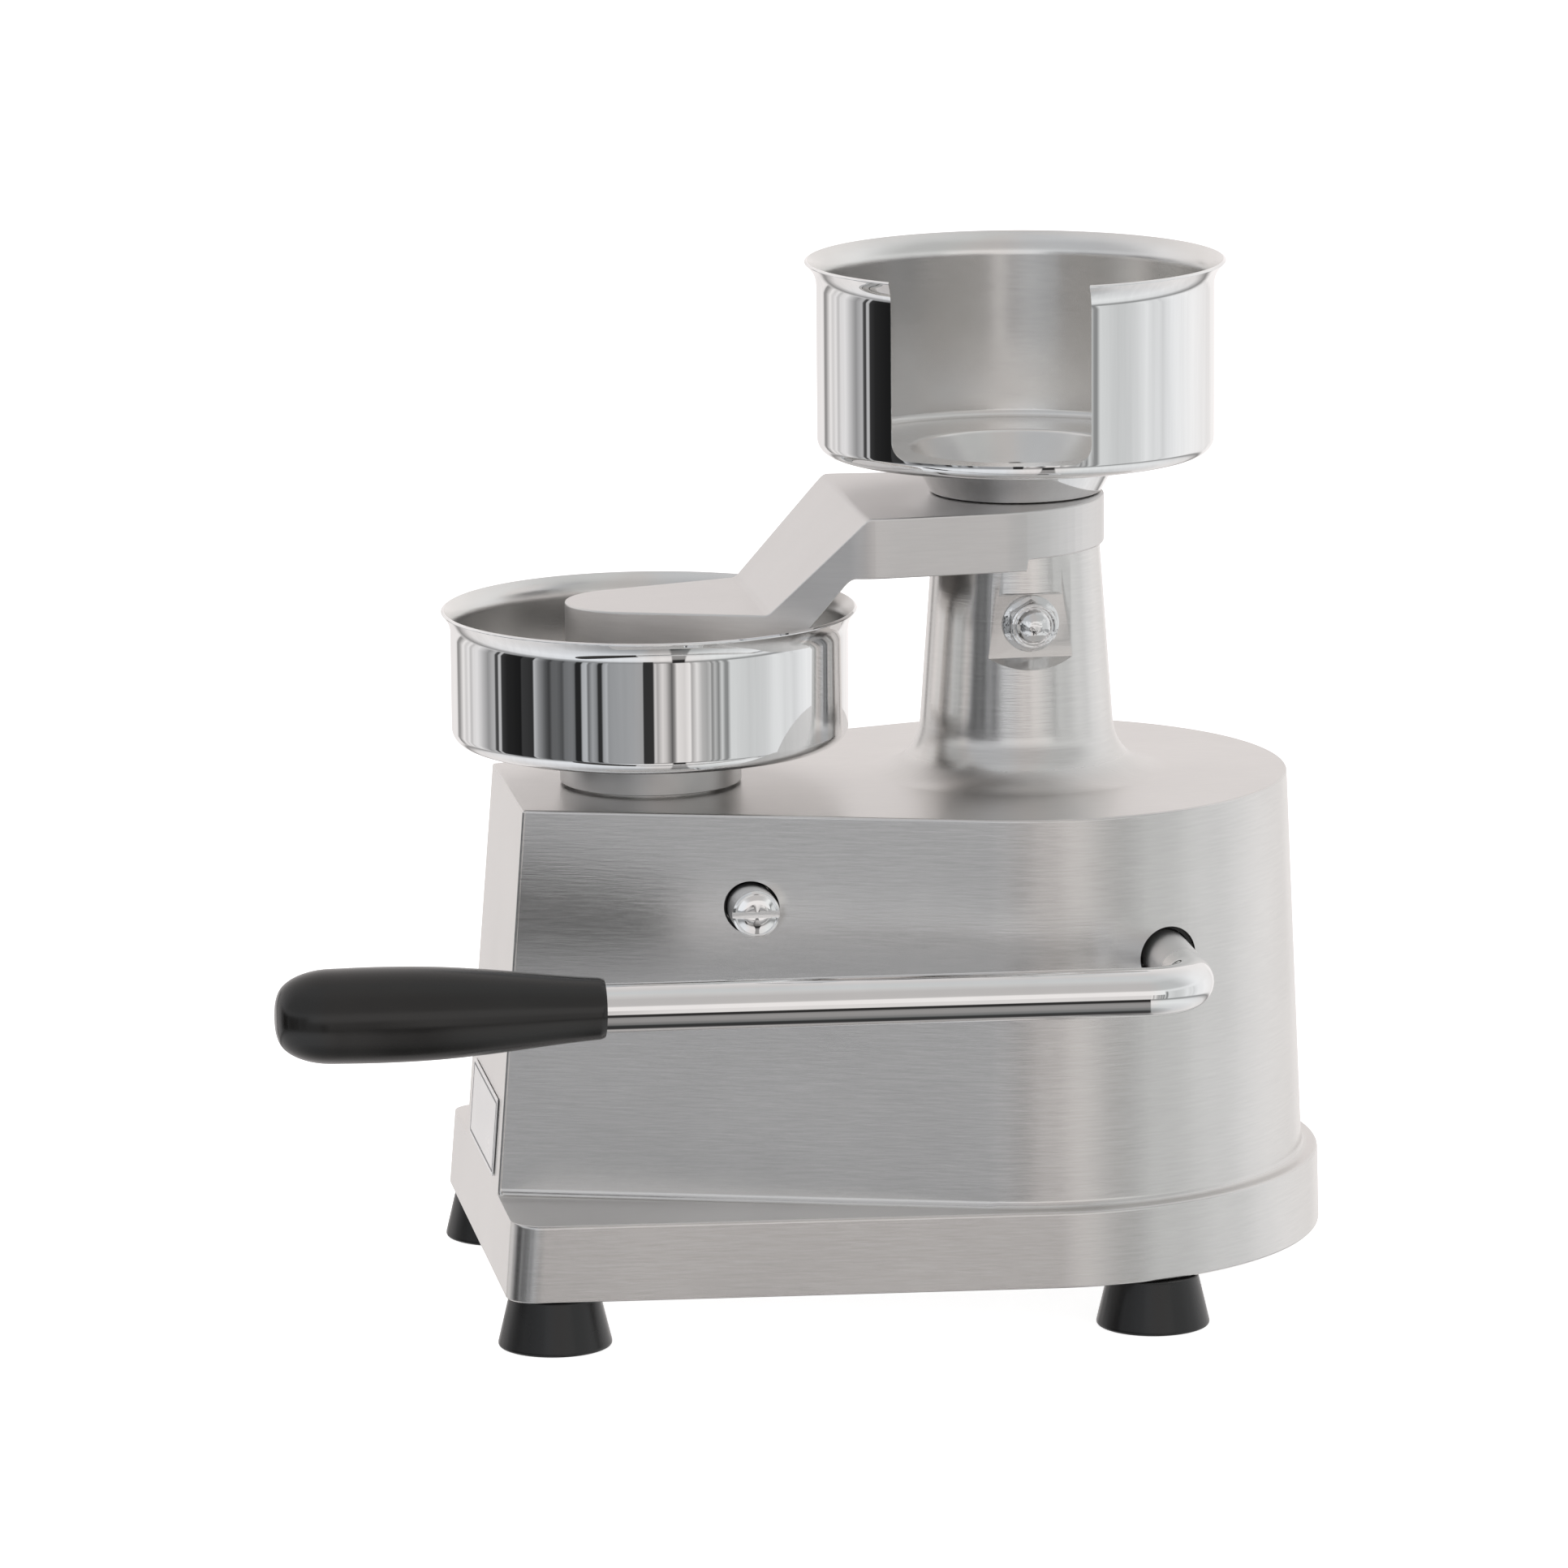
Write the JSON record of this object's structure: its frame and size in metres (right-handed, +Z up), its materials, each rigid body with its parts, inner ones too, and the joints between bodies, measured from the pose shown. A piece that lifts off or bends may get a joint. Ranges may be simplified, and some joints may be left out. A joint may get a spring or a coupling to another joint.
{
  "type": "patty press",
  "caption": "Hand-lever patty press: a cast base with a mould pan, a cranked press arm on a sliding column and a paper holder above it.",
  "frame": {"origin": "middle of the whole object's footprint, on the surface that the feet stand on", "axes": "+Z up; -X is the operator's side, where the grip points; -Y is the lever's side"},
  "size_m": [0.3676, 0.2558, 0.3462],
  "materials": {
    "cast_aluminium": "satin, finely brushed and anodised",
    "polished_steel": "mirror-polished stainless steel outside, finely brushed inside",
    "brushed_steel": "brushed stainless steel",
    "chrome": "bright chrome plate",
    "fastener_steel": "smooth bright stainless steel",
    "bronze": "plain turned bronze",
    "grip_plastic": "semi-gloss black",
    "bush_plastic": "matte black",
    "foot_rubber": "semi-gloss moulded black rubber",
    "label": "plain satin silver, blank"
  },
  "bodies": {
    "base": {"body_casting": "cast_aluminium", "name_plate": "label", "foot_front_right": "foot_rubber", "foot_front_left": "foot_rubber", "foot_rear_right": "foot_rubber", "foot_rear_left": "foot_rubber", "foot_screw_front_right": "fastener_steel", "foot_screw_front_left": "fastener_steel", "foot_screw_rear_right": "fastener_steel", "foot_screw_rear_left": "fastener_steel", "mould_pan": "polished_steel", "mould_base": "cast_aluminium", "mould_screw_1": "fastener_steel", "mould_screw_2": "fastener_steel", "mould_screw_3": "fastener_steel", "ejector_bush": "bronze", "column_bush_upper": "bronze", "column_bush_lower": "bronze", "guide_bolt": "fastener_steel", "shaft_bush_right": "bush_plastic", "shaft_bush_left": "bush_plastic", "pivot_pin": "chrome", "pivot_pin_clip": "fastener_steel"},
    "lever": {"lever_rod": "chrome", "grip": "grip_plastic", "crank": "brushed_steel", "crank_pin": "fastener_steel", "shaft_collar": "fastener_steel", "link_pin_rear": "fastener_steel"},
    "plunger": {"plunger": "brushed_steel", "plunger_cross_pin": "fastener_steel", "press_arm": "cast_aluminium", "arm_set_screw": "fastener_steel", "press_plate": "brushed_steel", "press_plate_screw": "fastener_steel", "paper_holder": "polished_steel", "holder_screw": "fastener_steel"},
    "ejector_link": {"ejector_link": "brushed_steel"},
    "bell_crank": {"bell_crank": "brushed_steel", "link_pin_front": "fastener_steel"},
    "ejector": {"ejector_plate": "brushed_steel", "ejector_rod": "brushed_steel", "ejector_cross_pin": "fastener_steel", "ejector_plate_screw": "fastener_steel"}
  },
  "joints": [
    {"name": "lever_turn", "type": "hinge", "parent": "base", "child": "lever", "pos_m": [0.1167, 0.0251, 0.1246], "axis": [0, 1, 0], "range_deg": [0, 60]},
    {"name": "plunger_slide", "type": "slide", "parent": "base", "child": "plunger", "axis": [0, 0, 1], "range_m": [0, 0.041]},
    {"name": "bell_crank_turn", "type": "hinge", "parent": "base", "child": "bell_crank", "pos_m": [-0.0189, 0.0251, 0.1421], "axis": [0, 1, 0], "range_deg": [0, 60]},
    {"name": "link_turn", "type": "hinge", "parent": "lever", "child": "ejector_link", "pos_m": [0.1337, 0.0251, 0.09516], "axis": [0, 1, 0], "range_deg": [-60, 0]},
    {"name": "ejector_slide", "type": "slide", "parent": "base", "child": "ejector", "axis": [0, 0, 1], "range_m": [0, 0.0282]}
  ],
  "couplings": [
    {"joint": "plunger_slide", "follows": "lever_turn", "m_per_rad": 0.039034},
    {"joint": "bell_crank_turn", "follows": "lever_turn", "ratio": 1},
    {"joint": "link_turn", "follows": "lever_turn", "ratio": -1},
    {"joint": "ejector_slide", "follows": "lever_turn", "m_per_rad": 0.026795}
  ]
}
